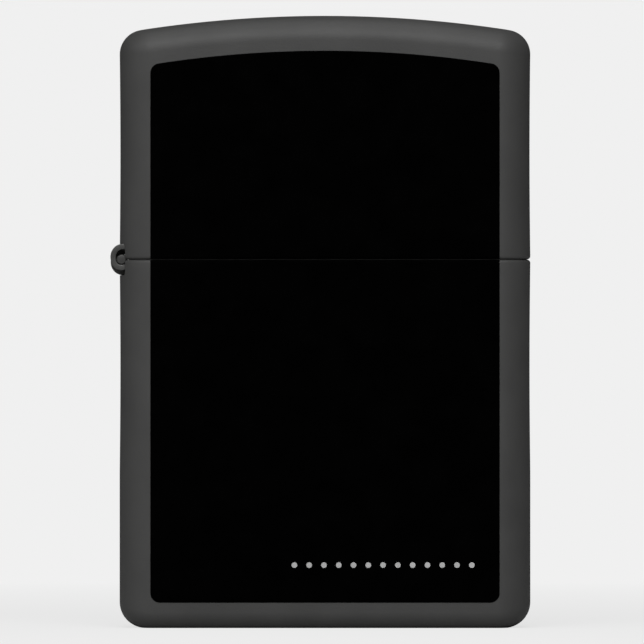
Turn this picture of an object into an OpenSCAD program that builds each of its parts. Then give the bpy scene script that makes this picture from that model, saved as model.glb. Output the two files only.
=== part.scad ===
// Pocket petrol lighter: a hinged sheet-metal case with a lift-out burner insert.
// The origin is the middle of the base, +Z is up and +X is to the right. The front faces -Y,
// and the lid's hinge pin runs along Y at the left edge. All sizes are in millimetres.

/* [Case] */
// Width of the case
case_w = 38.4; // [34:0.1:48]
// Depth of the case, front to back
case_d = 13; // [11.6:0.1:17]
// Height of the closed lighter
case_h = 57.2; // [54:0.1:72]
// Height of the case's rim, where the lid starts
split_z = 34.35; // [28:0.05:38]
// Gap between the case's rim and the lid's rim
split_gap = 0.15; // [0.1:0.01:0.3]
// Sheet thickness of the case and the lid
wall = 0.6; // [0.5:0.01:0.75]
// Radius of the upright edges
edge_r = 3.1; // [2.2:0.05:3.9]
// Radius of the two bottom corners, seen from the front
foot_r = 2.4; // [1.6:0.05:3.4]
// Radius along the bottom edges of the front and the back
foot_edge_r = 1.5; // [1:0.05:2.4]
// Radius of the lid's two top corners, seen from the front
top_r = 2.3; // [1.6:0.05:3.4]
// Radius along the lid's top edges, front and back
top_edge_r = 2.3; // [1.6:0.05:3.4]
// Radius of the lid's crowned top
crown_r = 113; // [90:1:200]
// Depth of the shallow hollow pressed into the base
base_dent = 0.2; // [0.1:0.05:0.4]
// Width of the flat rim round that hollow
base_rim = 2.6; // [2:0.1:4]

/* [Hinge] */
// Length of the hinge barrel
hinge_w = 9.8; // [8:0.1:10]
// Radius of the hinge pin
pin_r = 0.44; // [0.35:0.01:0.53]
// Running gap between the pin and the knuckles
pin_gap = 0.06; // [0.03:0.01:0.09]
// Sheet thickness of both hinge leaves
leaf_t = 0.52; // [0.42:0.01:0.63]
// Height of each leaf's plate inside the case or the lid
leaf_h = 9; // [6:0.1:11]
// Width of each leaf's plate
leaf_w = 8.8; // [7:0.1:9]
// Distance of the pin's axis inside the case's left side
hinge_inset = 0.2; // [0:0.05:0.4]
// Half height of the notches that the barrel sits in
notch_h = 1.65; // [1.5:0.05:2]
// Gap between neighbouring knuckles and round the moving tongue
knuckle_gap = 0.12; // [0.08:0.01:0.2]

/* [Printed panel] */
// Bare margin at each side of the panel
panel_side = 2.9; // [2:0.1:5]
// Bare margin below the panel
panel_foot = 2.4; // [2:0.1:6]
// Bare margin above the panel
panel_head = 3.3; // [2.5:0.1:6]
// Radius of the panel's curved top edge
panel_crown_r = 102; // [80:1:200]
// Radius of the panel's corners
panel_corner_r = 0.9; // [0.5:0.05:2]
// Thickness of the printed film
film_t = 0.04; // [0.02:0.01:0.06]
// Number of printed dots in the row near the foot
dot_count = 13; // [5:1:16]
// Radius of one dot
dot_r = 0.26; // [0.15:0.01:0.4]
// Distance from one dot to the next
dot_pitch = 1.38; // [1:0.02:1.6]
// Height of the row of dots above the base
dot_z = 5.9; // [4:0.1:10]
// Distance of the last dot from the panel's right edge
dot_inset = 2.6; // [1.5:0.1:4]

/* [Insert] */
// Gap between the insert and the inside of the case
side_gap = 0.4; // [0.25:0.05:0.6]
// Gap between the insert and the hinge leaf
leaf_gap = 0.3; // [0.2:0.05:0.5]
// How much rounder the insert's corners are than the case's
corner_ease = 0.5; // [0.3:0.05:0.8]
// Gap between the insert and the case's floor
floor_gap = 0.15; // [0.1:0.05:0.4]
// Sheet thickness of the insert's can
can_wall = 0.4; // [0.3:0.01:0.5]
// Height of the can's rim above the case's rim
can_rise = 1.65; // [1.2:0.05:2.2]
// Thickness of the top plate
plate_t = 0.5; // [0.4:0.05:0.7]
// Depth of the top plate below the can's rim
plate_drop = 0.3; // [0.1:0.05:0.6]

/* [Windguard] */
// Sheet thickness of the windguard
guard_t = 0.5; // [0.4:0.01:0.6]
// Gap between the windguard's top and the inside of the lid
guard_headroom = 3.2; // [2:0.1:5]
// Step from the can's faces in to the windguard's faces
guard_step = 0.5; // [0.3:0.05:1]
// Radius of the windguard's corners
guard_corner_r = 3; // [1.5:0.1:3.6]
// Radius of the air holes
air_hole_r = 1.1; // [0.7:0.05:1.3]
// Height of the lowest row of air holes above the top plate
air_first = 4.3; // [3:0.1:6]

/* [Flint wheel] */
// Radius of the flint wheel over its teeth
wheel_r = 3.3; // [2.7:0.05:4]
// Width of the flint wheel
wheel_w = 4.6; // [3.8:0.1:5.4]
// Number of teeth on the wheel
wheel_teeth = 40; // [24:1:48]
// Depth of the teeth
tooth_h = 0.3; // [0.2:0.02:0.4]
// Height of the wheel's axis above the top plate
wheel_up = 8; // [7:0.1:8.6]
// Distance of the wheel's axis from the can's right side
wheel_in = 4.7; // [4.3:0.1:6]
// Radius of the rivet that the wheel turns on
rivet_r = 0.8; // [0.6:0.02:0.95]
// Running gap between a rivet and what turns on it
rivet_gap = 0.06; // [0.03:0.01:0.09]
// Gap between a turning piece and the ears beside it
ear_gap = 0.15; // [0.1:0.01:0.25]
// Thickness of the ears
ear_t = 0.7; // [0.5:0.05:0.9]

/* [Flint feed] */
// Outer radius of the flint tube
tube_r = 1.9; // [1.55:0.05:2.1]
// Radius of the flint
flint_r = 1.25; // [1:0.05:1.35]
// Length of a new flint
flint_h = 5; // [4:0.1:6]
// Gap between the flint and the tube's bore
flint_gap = 0.12; // [0.05:0.01:0.2]
// Wire radius of the flint spring
spring_wire_r = 0.17; // [0.12:0.01:0.22]
// Number of turns of the flint spring
spring_turns = 15; // [8:1:20]
// Radius of the flint screw's head
screw_head_r = 2.3; // [2.1:0.05:2.6]
// Height of the flint screw's head
screw_head_h = 1; // [0.7:0.05:1.2]
// Length of the flint screw's shank
screw_shank = 5.4; // [4:0.1:7]

/* [Lid cam] */
// Distance of the cam's pivot from the hinge pin, across
cam_dx = 5.6; // [5.4:0.05:6.4]
// Height of the cam's pivot above the hinge pin
cam_dz = 3.2; // [3:0.05:3.8]
// Radius of the cam round its pivot
cam_r = 1.5; // [1.2:0.05:1.7]
// Radius of the cam's nose
nose_r = 0.35; // [0.25:0.01:0.45]
// Depth of the nose below the hinge pin
nose_drop = 0.55; // [0.4:0.01:0.7]
// Gap between the nose and the lid's tongue
nose_gap = 0.25; // [0.2:0.01:0.4]
// Thickness of the cam
cam_w = 2; // [1.5:0.1:2.4]
// Thickness of the cam's leaf spring
cam_spring_t = 0.25; // [0.18:0.01:0.32]

/* [Wick and packing] */
// Radius of the wick
wick_r = 1.55; // [1.2:0.05:1.9]
// Length of the wick above the top plate
wick_up = 10.2; // [6:0.1:13]
// Radius of the wick's bends
wick_bend_r = 2.9; // [2.6:0.05:3.4]
// Gap between packing, wick, tube and walls
pack_gap = 0.12; // [0.08:0.01:0.25]
// Thickness of the felt pad
felt_h = 3; // [2:0.1:4]

/* [Hidden] */
$fn = 96;

more = 1;                                   // how far a cutter runs past what it cuts
front_y = -case_d / 2;
lid_z = split_z + split_gap;
floor_z = wall + base_dent;

// hinge: five knuckles on one pin, two on the case's leaf and three on the lid's
hinge_x = -case_w / 2 + hinge_inset;
hinge_z = split_z + split_gap / 2;
bore_r = pin_r + pin_gap;
knuckle_r = bore_r + leaf_t;
knuckle_mid_r = bore_r + leaf_t / 2;
knuckle_pitch = hinge_w / 5;
leaf_x = wall - hinge_inset + leaf_t / 2;   // middle of a leaf's plate, from the pin
strap_proud = 0.25;                         // how far a strap stands out of the case's side
strap_x = leaf_t / 2 - hinge_inset - strap_proud;
jog_z = notch_h - leaf_t / 2;               // height of the bend from plate to strap
slit_w = 0.12;                              // gap left where the sheet closes round the pin
tongue_w = 1.8;
tongue_x = knuckle_r + knuckle_gap + leaf_t / 2;
tongue_drop = 0.5;                          // how far the tongue's tip hangs below the pin
notch_half_w = hinge_w / 2 + 0.2;

// insert
can_x0 = -case_w / 2 + wall + leaf_t + leaf_gap;
can_x1 = case_w / 2 - wall - side_gap;
can_x = (can_x0 + can_x1) / 2;
can_w = can_x1 - can_x0;
can_d = case_d - 2 * (wall + side_gap);
can_r = edge_r - wall - side_gap + corner_ease;
foot_in_r = foot_r - wall;                  // bottom corner inside the case
can_seat = foot_r - sqrt(pow(foot_in_r, 2) - pow(max(foot_in_r - side_gap, 0), 2));
can_z0 = max(floor_z, can_seat) + floor_gap;
can_z1 = split_z + can_rise;
plate_z1 = can_z1 - plate_drop;
plate_z0 = plate_z1 - plate_t;

// wheel, cam and the windguard between them
wheel_x = can_x1 - wheel_in;
wheel_z = plate_z1 + wheel_up;
wheel_ear_y = wheel_w / 2 + ear_gap;        // inner face of the wheel's ears
wheel_ear_r = 1.7;
tooth_lean = 0.7;                           // share of a tooth's step before its tip
cam_x = hinge_x + cam_dx;
cam_z = hinge_z + cam_dz;
cam_ear_y = cam_w / 2 + ear_gap;
cam_ear_r = 1.3;
guard_x0 = cam_x + cam_r + 5;
guard_x1 = wheel_x - wheel_r - 1.2;
guard_x = (guard_x0 + guard_x1) / 2;
guard_w = guard_x1 - guard_x0;
guard_d = can_d - 2 * guard_step;
guard_z1 = case_h - wall - guard_headroom;
air_spread = 0.29;                          // step between air holes, as a share of the width
window_z0 = plate_z1 + 3;                   // opening behind the wheel, for the sparks
window_z1 = plate_z1 + wheel_up + 5;
rivet_head_r = 1.3;
rivet_head_h = 0.35;
cam_rivet_r = 0.8 * rivet_r;

// cam: measured from the hinge pin
nose = [tongue_x + leaf_t / 2 + nose_gap + nose_r, -nose_drop];
cam_pivot = [cam_dx, cam_dz];
elbow_at = 0.45;                            // share of the way from the pivot to the nose
elbow = cam_pivot + elbow_at * (nose - cam_pivot);
elbow_r = 0.95;
slot_x1 = cam_dx + 0.1;                     // right end of the cam's slot in the top plate
slot_half_w = cam_w / 2 + 0.3;
can_notch_half_w = slot_half_w + 0.9;       // the notch also clears the bent tongue
can_notch_z = -notch_h - 0.95;              // bottom of the notch in the can's left wall
cam_spring_w = 1.8;
cam_spring_lie = plate_z0 - hinge_z - cam_spring_t / 2;
cam_spring_fix = slot_x1 + 2.6;             // where the spring is riveted, from the pin
cam_spring_low = -nose_drop - nose_r - cam_spring_t / 2 - 0.06;
spring_rivet_r = 0.55;
spring_rivet_head = [1.6 * spring_rivet_r, 0.3];   // radius and height

// flint feed
flint_bore_r = flint_r + flint_gap;
rub_gap = 0.12;                             // gap between the flint and the wheel
flint_z1 = wheel_z - wheel_r - rub_gap;
flint_z0 = flint_z1 - flint_h;
tube_z1 = wheel_z - wheel_r - 0.45;         // the flint stands a little out of the tube
screw_z0 = can_z0 + 0.3;
screw_slot = [0.7, 0.45];                   // width and depth
tube_z0 = screw_z0 + screw_head_h;
shank_z1 = tube_z0 + screw_shank;
shank_r = flint_bore_r - 0.04;
tip_head_h = 1.2;
tip_stem_h = 2.2;
tip_stem_r = flint_r - 3 * spring_wire_r;
spring_r = flint_r - spring_wire_r - 0.05;
spring_z0 = shank_z1 + spring_wire_r;
spring_z1 = flint_z0 - tip_head_h - spring_wire_r;

// felt, cotton and wick
felt_z0 = can_z0 + 0.15;
felt_z1 = felt_z0 + felt_h;
flap_x = can_x0 + 8;                        // flap cut in the felt, for filling
flap_r = 2.6;
flap_slit = 0.15;
cotton_z0 = felt_z1 + 0.2;
cotton_z1 = hinge_z + can_notch_z - 0.1;
cotton_step = (cotton_z1 - cotton_z0) / 5;
wick_x = guard_x;
wick_z1 = plate_z1 + wick_up;
run_x0 = can_x0 + 6.5;                      // ends of the wick's level runs
run_x1 = wheel_x - tube_r - wick_r - wick_bend_r - 1;
run_step = 2 * wick_bend_r;
run_z = cotton_z1 - 1.5 - wick_r;           // height of the first level run

// ---- shapes used by several pieces ----

// rectangle with round corners, centred
module rounded(w, d, r) {
    square([w - 2 * r, d], center = true);
    square([w, d - 2 * r], center = true);
    for (x = [-1, 1], y = [-1, 1])
        translate([x * (w / 2 - r), y * (d / 2 - r)]) circle(r);
}

// upright outline from z0 to z1: straight sides, round corners and a crowned top
module crowned(w, z0, z1, r_foot, r_top, r_crown) {
    x_top = w / 2 - r_top;
    crown_z = z1 - r_crown;
    z_top = crown_z + sqrt(pow(r_crown - r_top, 2) - pow(x_top, 2));
    x_join = x_top * r_crown / (r_crown - r_top);
    intersection() {
        translate([0, crown_z]) circle(r_crown, $fn = 720);
        translate([-x_join, z0 + r_foot]) square([2 * x_join, z1 - z0]);
    }
    translate([-w / 2, z0 + r_foot]) square([w, z_top - z0 - r_foot]);
    translate([-w / 2 + r_foot, z0]) square([w - 2 * r_foot, 2 * r_foot]);
    for (side = [-1, 1]) {
        translate([side * x_top, z_top]) circle(r_top);
        translate([side * (w / 2 - r_foot), z0 + r_foot]) circle(r_foot);
    }
}

// a front-view outline carried from y0 to y1
module along_y(y0, y1) {
    translate([0, y1, 0]) rotate([90, 0, 0]) linear_extrude(y1 - y0) children();
}

// the same, with the outline measured from the hinge pin
module at_hinge(y0, y1) {
    along_y(y0, y1) translate([hinge_x, hinge_z]) children();
}

// strip of sheet bent along a row of points, with round ends
module bent_strip(points, t) {
    for (i = [1 : len(points) - 1]) {
        run = points[i] - points[i - 1];
        translate(points[i - 1]) rotate(atan2(run[1], run[0]))
            translate([0, -t / 2]) square([norm(run), t]);
    }
    for (p = points) translate(p) circle(t / 2);
}

// everything between two heights
module slab(z0, z1) {
    translate([-case_w, -case_d, z0]) cube([2 * case_w, 2 * case_d, z1 - z0]);
}

// seen from above: the case's outline, shrunk by inset
module plan(inset) {
    rounded(case_w - 2 * inset, case_d - 2 * inset, edge_r - inset);
}

// seen from the front: the closed lighter's outline, shrunk by inset
module front(inset) {
    crowned(case_w - 2 * inset, inset, case_h - inset,
            foot_r - inset, top_r - inset, crown_r - inset);
}

// the case's body below the crown, shrunk by inset
module foot_solid(inset) {
    r = foot_edge_r - inset;
    intersection() {
        linear_extrude(case_h) plan(inset);
        along_y(-case_d, case_d) front(inset);
        rotate([90, 0, 90]) linear_extrude(2 * case_w, center = true) {
            translate([inset - case_d / 2, foot_edge_r]) square([case_d - 2 * inset, case_h]);
            translate([r + inset - case_d / 2, inset])
                square([case_d - 2 * foot_edge_r, foot_edge_r]);
            for (side = [-1, 1])
                translate([side * (case_d / 2 - foot_edge_r), foot_edge_r]) circle(r);
        }
    }
}

// the lid's body under its crown, shrunk by inset: the rounded top edge follows the crown
module crown_solid(inset) {
    r = top_edge_r - inset;
    far_r = crown_r - top_edge_r;
    near_r = far_r - (case_h - split_z) - 2;
    intersection() {
        linear_extrude(2 * case_h) plan(inset);
        along_y(-case_d, case_d) front(inset);
        translate([0, 0, case_h - crown_r]) rotate([90, 0, 0])
            rotate_extrude(angle = 50, start = 65, $fn = 720) {
                translate([near_r, inset - case_d / 2])
                    square([far_r - near_r, case_d - 2 * inset]);
                translate([near_r, top_edge_r - case_d / 2])
                    square([crown_r - inset - near_r, case_d - 2 * top_edge_r]);
                for (side = [-1, 1])
                    translate([far_r, side * (case_d / 2 - top_edge_r)]) circle(r);
            }
    }
}

// cutter for the hinge barrel's notch, from z0 to z1 about the pin
module barrel_notch(z0, z1) {
    translate([-case_w / 2 - more, -notch_half_w, hinge_z + z0])
        cube([more + edge_r, 2 * notch_half_w, z1 - z0]);
}

// ---- case and lid ----

module case_bottom() {
    color([0.26, 0.26, 0.255]) difference() {
        intersection() {
            foot_solid(0);
            slab(0, split_z);
        }
        intersection() {
            foot_solid(wall);
            slab(floor_z, case_h);
        }
        translate([0, 0, -more]) linear_extrude(more + base_dent)
            rounded(case_w - 2 * base_rim, case_d - 2 * base_rim, edge_r - base_rim / 2);
        barrel_notch(-notch_h, more);
    }
}

module case_lid() {
    color([0.26, 0.26, 0.255]) difference() {
        intersection() {
            crown_solid(0);
            slab(lid_z, case_h + more);
        }
        intersection() {
            crown_solid(wall);
            slab(split_z - more, case_h);
        }
        barrel_notch(-more, notch_h);
    }
}

// ---- hinge ----

// one knuckle of the case's leaf: plate bend, strap and the roll round the pin
module knuckle_outline() {
    bend = [strap_x, -jog_z];
    reach = norm(bend);
    aim = knuckle_mid_r - 0.01;             // keeps the strap's edge just inside the roll
    way = atan2(-bend[1], -bend[0]) + asin(aim / reach);
    touch = bend + sqrt(reach * reach - aim * aim) * [cos(way), sin(way)];
    run = touch - bend;
    difference() {
        union() {
            circle(knuckle_r);
            bent_strip([[leaf_x, -jog_z], bend], leaf_t);
            translate(bend) rotate(atan2(run[1], run[0]))
                translate([0, -leaf_t / 2]) square([norm(run), leaf_t]);
        }
        circle(bore_r);
        rotate(-68) translate([bore_r / 2, -slit_w / 2]) square([bore_r + leaf_t, slit_w]);
    }
}

// knuckles of one leaf, counted from the front
module knuckles(places) {
    for (i = places)
        at_hinge(-hinge_w / 2 + i * knuckle_pitch + (i == 0 ? 0 : knuckle_gap / 2),
                 -hinge_w / 2 + (i + 1) * knuckle_pitch - (i == 4 ? 0 : knuckle_gap / 2))
            children();
}

// a leaf's plate, which lines the inside of the wall from z0 to z1 about the pin
module leaf_plate(z0, z1) {
    intersection() {
        translate([0, 0, hinge_z + z0]) linear_extrude(z1 - z0) difference() {
            plan(wall);
            plan(wall + leaf_t);
        }
        translate([-case_w / 2, -leaf_w / 2, 0]) cube([edge_r, leaf_w, case_h]);
    }
}

module hinge_leaf_case() {
    color([0.3, 0.3, 0.3]) {
        leaf_plate(-leaf_h, -jog_z);
        knuckles([1, 3]) knuckle_outline();
    }
}

// the lid's leaf also carries the bent tongue that the cam pushes on
module hinge_leaf_lid() {
    color([0.3, 0.3, 0.3]) {
        leaf_plate(jog_z, leaf_h);
        knuckles([0, 2, 4]) mirror([0, 1]) knuckle_outline();
        at_hinge(-tongue_w / 2, tongue_w / 2)
            bent_strip([[leaf_x, jog_z + 2], [leaf_x, jog_z + 0.9], [tongue_x, jog_z + 0.15],
                        [tongue_x, -tongue_drop]], leaf_t);
    }
}

module hinge_pin() {
    color([0.62, 0.62, 0.6]) at_hinge(-hinge_w / 2, hinge_w / 2) circle(pin_r);
}

// ---- print ----

// printed film on the front, between two heights
module print_film(z0, z1) {
    color([0.01, 0.01, 0.01]) intersection() {
        translate([0, 0, z0]) linear_extrude(z1 - z0) difference() {
            plan(-film_t);
            plan(0);
        }
        along_y(front_y - more, front_y + film_t)
            crowned(case_w - 2 * panel_side, panel_foot, case_h - panel_head,
                    panel_corner_r, panel_corner_r, panel_crown_r);
    }
}

module print_panel_case() { print_film(foot_edge_r, split_z); }

module print_panel_lid() { print_film(lid_z, case_h - top_edge_r); }

module print_dots() {
    color([0.6, 0.6, 0.6]) for (i = [0 : dot_count - 1])
        along_y(front_y - film_t - film_t / 2, front_y - film_t)
            translate([case_w / 2 - panel_side - dot_inset - i * dot_pitch, dot_z]) circle(dot_r);
}

// ---- insert ----

module insert_can() {
    color([0.72, 0.72, 0.7]) difference() {
        translate([can_x, 0, can_z0]) linear_extrude(can_z1 - can_z0) difference() {
            rounded(can_w, can_d, can_r);
            rounded(can_w - 2 * can_wall, can_d - 2 * can_wall, can_r - can_wall);
        }
        translate([can_x0 - more, -can_notch_half_w, hinge_z + can_notch_z])
            cube([more + 2 * can_wall, 2 * can_notch_half_w, case_h]);
    }
}

module top_plate() {
    color([0.72, 0.72, 0.7]) translate([0, 0, plate_z0]) linear_extrude(plate_t) difference() {
        translate([can_x, 0])
            rounded(can_w - 2 * can_wall, can_d - 2 * can_wall, can_r - can_wall);
        translate([hinge_x, -slot_half_w]) square([slot_x1, 2 * slot_half_w]);
        translate([hinge_x + cam_spring_fix, 0]) circle(spring_rivet_r);
        translate([wick_x, 0]) circle(wick_r + pack_gap);
        translate([wheel_x, 0]) circle(tube_r);
    }
}

// an ear: a plate from the windguard out to a rivet at x, z, standing on the top plate
module ear(x, z, r, wall_x, y) {
    for (side = [-1, 1]) translate([0, side * (y + ear_t / 2), 0])
        along_y(-ear_t / 2, ear_t / 2) difference() {
            union() {
                translate([x, z]) circle(r);
                translate([min(x, wall_x), plate_z1]) square([abs(wall_x - x), z + r - plate_z1]);
                translate([x - r, plate_z1]) square([2 * r, z - plate_z1]);
            }
            translate([x, z]) circle(x == wheel_x ? rivet_r : cam_rivet_r);
        }
}

module windguard() {
    window_half_w = wheel_ear_y - 0.3;
    color([0.74, 0.74, 0.72]) {
        difference() {
            translate([guard_x, 0, plate_z1]) linear_extrude(guard_z1 - plate_z1) difference() {
                rounded(guard_w, guard_d, guard_corner_r);
                rounded(guard_w - 2 * guard_t, guard_d - 2 * guard_t, guard_corner_r - guard_t);
            }
            air_holes();
            translate([guard_x1 - 2 * guard_t, -window_half_w, window_z0])
                cube([more + 2 * guard_t, 2 * window_half_w, window_z1 - window_z0]);
        }
        ear(wheel_x, wheel_z, wheel_ear_r, guard_x1 - guard_t / 2, wheel_ear_y);
        ear(cam_x, cam_z, cam_ear_r, guard_x0 + guard_t / 2, cam_ear_y);
    }
}

// rows of three, two and three air holes through the front and the back
module air_holes() {
    row_step = (guard_z1 - plate_z1 - 2 * air_first) / 2;
    col_step = air_spread * guard_w;
    for (row = [0 : 2], col = row == 1 ? [-0.5, 0.5] : [-1, 0, 1])
        along_y(-case_d, case_d)
            translate([guard_x + col * col_step, plate_z1 + air_first + row * row_step])
                circle(air_hole_r);
}

// ---- flint wheel and its feed ----

module flint_wheel() {
    turn = 360 / wheel_teeth;
    teeth = [for (i = [0 : wheel_teeth - 1], tip = [0, 1])
        let (r = wheel_r - (tip == 1 ? 0 : tooth_h), a = (i + tip * tooth_lean) * turn)
        [r * cos(a), r * sin(a)]];
    color([0.35, 0.34, 0.33]) along_y(-wheel_w / 2, wheel_w / 2) translate([wheel_x, wheel_z])
        difference() {
            polygon(teeth);
            circle(rivet_r + rivet_gap);
        }
}

// rivet along Y with a head outside each ear
module cross_rivet(x, z, r, ear_y) {
    y = ear_y + ear_t;
    translate([x, 0, z]) rotate([90, 0, 0]) {
        cylinder(r = r, h = 2 * y, center = true);
        for (side = [0, 1]) mirror([0, 0, side])
            translate([0, 0, y]) cylinder(r = rivet_head_r * r / rivet_r, h = rivet_head_h);
    }
}

module wheel_rivet() {
    color([0.7, 0.7, 0.68]) cross_rivet(wheel_x, wheel_z, rivet_r, wheel_ear_y);
}

module flint_tube() {
    color([0.7, 0.6, 0.35]) translate([wheel_x, 0, tube_z0]) difference() {
        cylinder(r = tube_r, h = tube_z1 - tube_z0);
        translate([0, 0, -more])
            cylinder(r = flint_bore_r, h = tube_z1 - tube_z0 + 2 * more);
    }
}

module flint() {
    color([0.25, 0.25, 0.24]) translate([wheel_x, 0, flint_z0]) cylinder(r = flint_r, h = flint_h);
}

// brass plug between the spring and the flint
module spring_tip() {
    color([0.75, 0.6, 0.3]) translate([wheel_x, 0, flint_z0]) {
        translate([0, 0, -tip_head_h]) cylinder(r = flint_r, h = tip_head_h);
        translate([0, 0, -tip_head_h - tip_stem_h]) cylinder(r = tip_stem_r, h = tip_stem_h);
    }
}

// coil swept as rings of points along a helix
module flint_spring() {
    steps = spring_turns * 10;
    sides = 5;
    rings = [for (i = [0 : steps])
        let (a = i * 36, z = spring_z0 + (spring_z1 - spring_z0) * i / steps)
        for (k = [0 : sides - 1])
            let (b = k * 360 / sides, r = spring_r + spring_wire_r * cos(b))
            [wheel_x + r * cos(a), r * sin(a), z + spring_wire_r * sin(b)]];
    skin = [for (i = [0 : steps - 1], k = [0 : sides - 1])
        let (n = (k + 1) % sides)
        [i * sides + k, (i + 1) * sides + k, (i + 1) * sides + n, i * sides + n]];
    ends = [[for (k = [0 : sides - 1]) k],
            [for (k = [sides - 1 : -1 : 0]) steps * sides + k]];
    color([0.6, 0.6, 0.6]) polyhedron(rings, concat(skin, ends));
}

// slotted brass screw that holds the spring in from below
module flint_screw() {
    color([0.75, 0.6, 0.3]) translate([wheel_x, 0, screw_z0]) difference() {
        union() {
            cylinder(r = screw_head_r, h = screw_head_h);
            cylinder(r = shank_r, h = shank_z1 - screw_z0);
        }
        translate([-case_d, -screw_slot[0] / 2, -more])
            cube([2 * case_d, screw_slot[0], more + screw_slot[1]]);
    }
}

// ---- cam that snaps the lid open and shut ----

module cam() {
    color([0.68, 0.68, 0.66]) at_hinge(-cam_w / 2, cam_w / 2) difference() {
        union() {
            translate(cam_pivot) circle(cam_r);
            translate(elbow) circle(elbow_r);
            translate(nose) circle(nose_r);
            arm(cam_pivot, elbow, 2 * elbow_r);
            arm(elbow, nose, 2 * nose_r);
        }
        translate(cam_pivot) circle(cam_rivet_r + rivet_gap);
    }
}

// straight bar between two points
module arm(p, q, w) {
    run = q - p;
    translate(p) rotate(atan2(run[1], run[0])) translate([0, -w / 2]) square([norm(run), w]);
}

module cam_rivet() {
    color([0.7, 0.7, 0.68]) cross_rivet(cam_x, cam_z, cam_rivet_r, cam_ear_y);
}

// leaf spring under the top plate, its free end bent down below the cam's nose
module cam_spring() {
    color([0.6, 0.62, 0.66]) difference() {
        at_hinge(-cam_spring_w / 2, cam_spring_w / 2)
            bent_strip([[cam_spring_fix + 1, cam_spring_lie], [slot_x1 + 0.4, cam_spring_lie],
                        [nose[0] + 1.8, cam_spring_low], [nose[0] - 0.1, cam_spring_low]],
                       cam_spring_t);
        translate([hinge_x + cam_spring_fix, 0, can_z0])
            cylinder(r = spring_rivet_r, h = case_h);
    }
}

module cam_spring_rivet() {
    under = plate_z0 - cam_spring_t;
    color([0.7, 0.7, 0.68]) translate([hinge_x + cam_spring_fix, 0, 0]) {
        translate([0, 0, under]) cylinder(r = spring_rivet_r, h = plate_z1 - under);
        translate([0, 0, plate_z1]) cylinder(r = spring_rivet_head[0], h = spring_rivet_head[1]);
        translate([0, 0, under - spring_rivet_head[1]])
            cylinder(r = spring_rivet_head[0], h = spring_rivet_head[1]);
    }
}

// ---- wick, cotton and felt ----

// half or quarter bend in the X-Z plane about x, z, from angle a0 through sweep
module wick_bend(x, z, a0, sweep, r) {
    translate([x, 0, z]) rotate([90, 0, 0])
        rotate_extrude(angle = sweep, start = a0) translate([wick_bend_r, 0]) circle(r);
}

module wick_run(x0, x1, z, r) {
    translate([x0, 0, z]) rotate([0, 90, 0]) cylinder(r = r, h = x1 - x0);
}

// upright to the windguard, then to and fro through the cotton
module wick_shape(r) {
    z_bend = run_z + wick_bend_r;
    translate([wick_x, 0, z_bend]) cylinder(r = r, h = wick_z1 - z_bend);
    wick_bend(wick_x - wick_bend_r, z_bend, 270, 90, r);
    wick_run(run_x0, wick_x - wick_bend_r, run_z, r);
    wick_bend(run_x0, run_z - wick_bend_r, 90, 180, r);
    wick_run(run_x0, run_x1, run_z - run_step, r);
    wick_bend(run_x1, run_z - run_step - wick_bend_r, 270, 180, r);
    wick_run(run_x0, run_x1, run_z - 2 * run_step, r);
    wick_bend(run_x0, run_z - 2.5 * run_step, 90, 180, r);
    wick_run(run_x0, run_x1, run_z - 3 * run_step, r);
}

module wick() {
    color([0.85, 0.83, 0.76]) wick_shape(wick_r);
}

// one wad of cotton, counted from the bottom, pressed round the wick and the flint tube
module cotton(i) {
    skin = can_wall + pack_gap;
    color([0.93, 0.92, 0.9]) difference() {
        translate([can_x, 0, cotton_z0 + i * cotton_step]) linear_extrude(cotton_step - pack_gap)
            rounded(can_w - 2 * skin, can_d - 2 * skin, can_r - skin);
        translate([wheel_x, 0, can_z0]) cylinder(r = tube_r + pack_gap, h = case_h);
        wick_shape(wick_r + pack_gap);
    }
}

module cotton_1() { cotton(0); }

module cotton_2() { cotton(1); }

module cotton_3() { cotton(2); }

module cotton_4() { cotton(3); }

module cotton_5() { cotton(4); }

// felt pad that closes the can, with a hole for the screw and a slit flap for filling
module felt_pad() {
    skin = can_wall + pack_gap;
    color([0.88, 0.86, 0.8]) translate([0, 0, felt_z0]) linear_extrude(felt_h) difference() {
        translate([can_x, 0])
            rounded(can_w - 2 * skin, can_d - 2 * skin, can_r - skin);
        translate([wheel_x, 0]) circle(screw_head_r + pack_gap);
        translate([flap_x, 0]) difference() {
            circle(flap_r);
            circle(flap_r - flap_slit);
            translate([0, -2 * flap_r]) square([2 * flap_r, 4 * flap_r]);
        }
    }
}

case_bottom();
case_lid();
hinge_leaf_case();
hinge_leaf_lid();
hinge_pin();
print_panel_case();
print_panel_lid();
print_dots();
insert_can();
top_plate();
windguard();
flint_tube();
flint_wheel();
wheel_rivet();
cam();
cam_rivet();
cam_spring();
cam_spring_rivet();
flint();
spring_tip();
flint_spring();
flint_screw();
wick();
cotton_1();
cotton_2();
cotton_3();
cotton_4();
cotton_5();
felt_pad();
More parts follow.
